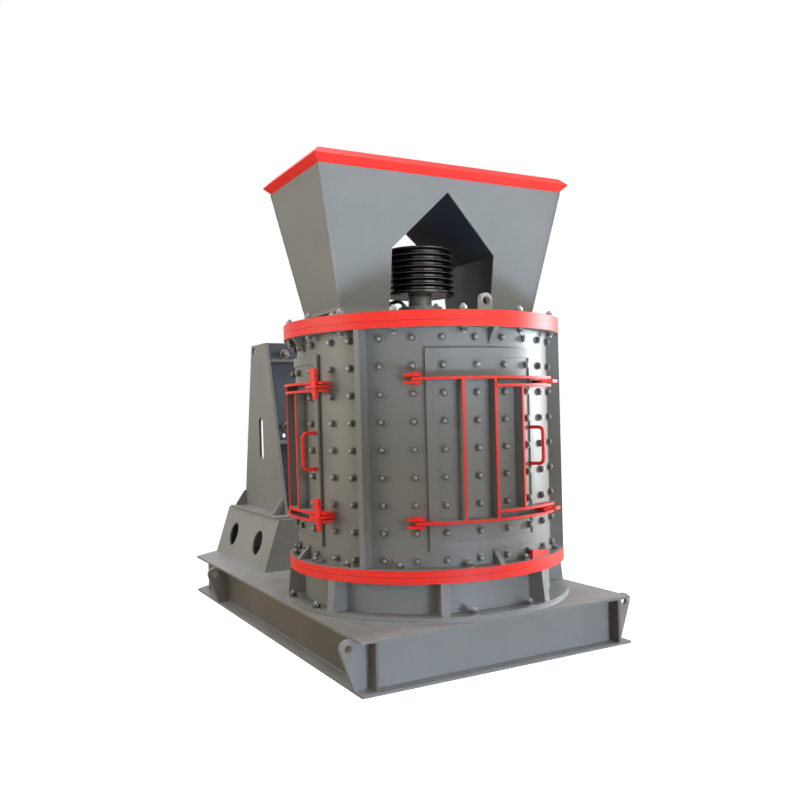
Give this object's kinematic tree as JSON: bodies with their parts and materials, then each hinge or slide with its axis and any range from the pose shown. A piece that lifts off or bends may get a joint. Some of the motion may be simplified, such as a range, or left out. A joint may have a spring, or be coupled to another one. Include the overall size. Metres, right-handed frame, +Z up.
{
  "type": "sand making machine",
  "caption": "Vertical compound crusher for making sand: barrel with hinged doors, saddle hopper over the belt sheave, base frame and motor stand.",
  "frame": {"origin": "centre of the underside of the base frame", "axes": "+Z up, +X along the base from the motor stand towards the barrel, +Y to the barrel's right seen from the front door"},
  "size_m": [2.71, 1.5676, 2.344],
  "materials": {
    "grey_paint": "satin machine enamel over plate steel",
    "red_paint": "gloss enamel",
    "black_paint": "gloss enamel",
    "machined_steel": "turned steel",
    "liner_steel": "cast manganese steel"
  },
  "bodies": {
    "frame": {"deck_plate": "grey_paint", "bottom_flanges": "grey_paint", "side_webs": "grey_paint", "end_webs": "grey_paint", "cross_beams": "grey_paint", "base_lifting_lugs": "grey_paint", "pedestal_base_ring": "grey_paint", "pedestal_shell": "grey_paint", "pedestal_ribs": "grey_paint", "pedestal_top_ring": "red_paint", "barrel_bottom_flange": "red_paint", "wall_under_doors": "grey_paint", "wall_over_doors": "grey_paint", "wall_front_left": "grey_paint", "wall_front_right": "grey_paint", "wall_rear_left": "grey_paint", "wall_rear_right": "grey_paint", "barrel_top_flange": "red_paint", "wall_ribs": "grey_paint", "hinge_forks": "red_paint", "clamp_tongues": "red_paint", "wall_liners": "liner_steel", "wedge_pins": "red_paint", "loose_wedge": "red_paint", "left_door": "grey_paint", "left_door_bands": "red_paint", "right_door": "grey_paint", "right_door_bands": "red_paint", "top_cover": "red_paint", "cover_lugs": "grey_paint", "upper_bearing": "machined_steel", "lower_bearing": "grey_paint", "hopper_front_wall": "grey_paint", "hopper_rear_wall": "grey_paint", "hopper_end_walls": "grey_paint", "hopper_rim": "red_paint", "hopper_tunnel": "grey_paint", "hopper_feet": "grey_paint", "stand_box": "grey_paint", "column_foot": "grey_paint", "column_sides": "grey_paint", "motor_plate": "grey_paint", "column_shelves": "grey_paint"},
    "front_door": {"front_door": "grey_paint", "front_door_bands": "red_paint", "front_door_handle": "red_paint"},
    "rotor": {"rotor_shaft": "machined_steel", "rotor_discs": "liner_steel", "rotor_hammers": "liner_steel", "sheave": "black_paint"}
  },
  "joints": [
    {"name": "front_door_hinge", "type": "hinge", "parent": "frame", "child": "front_door", "pos_m": [1.2148, -0.3553, 0.983], "axis": [0, 0, -1], "range_deg": [0, 110]},
    {"name": "rotor_spin", "type": "hinge", "parent": "frame", "child": "rotor", "pos_m": [0.635, 0, 1], "axis": [0, 0, 1], "continuous": true}
  ]
}
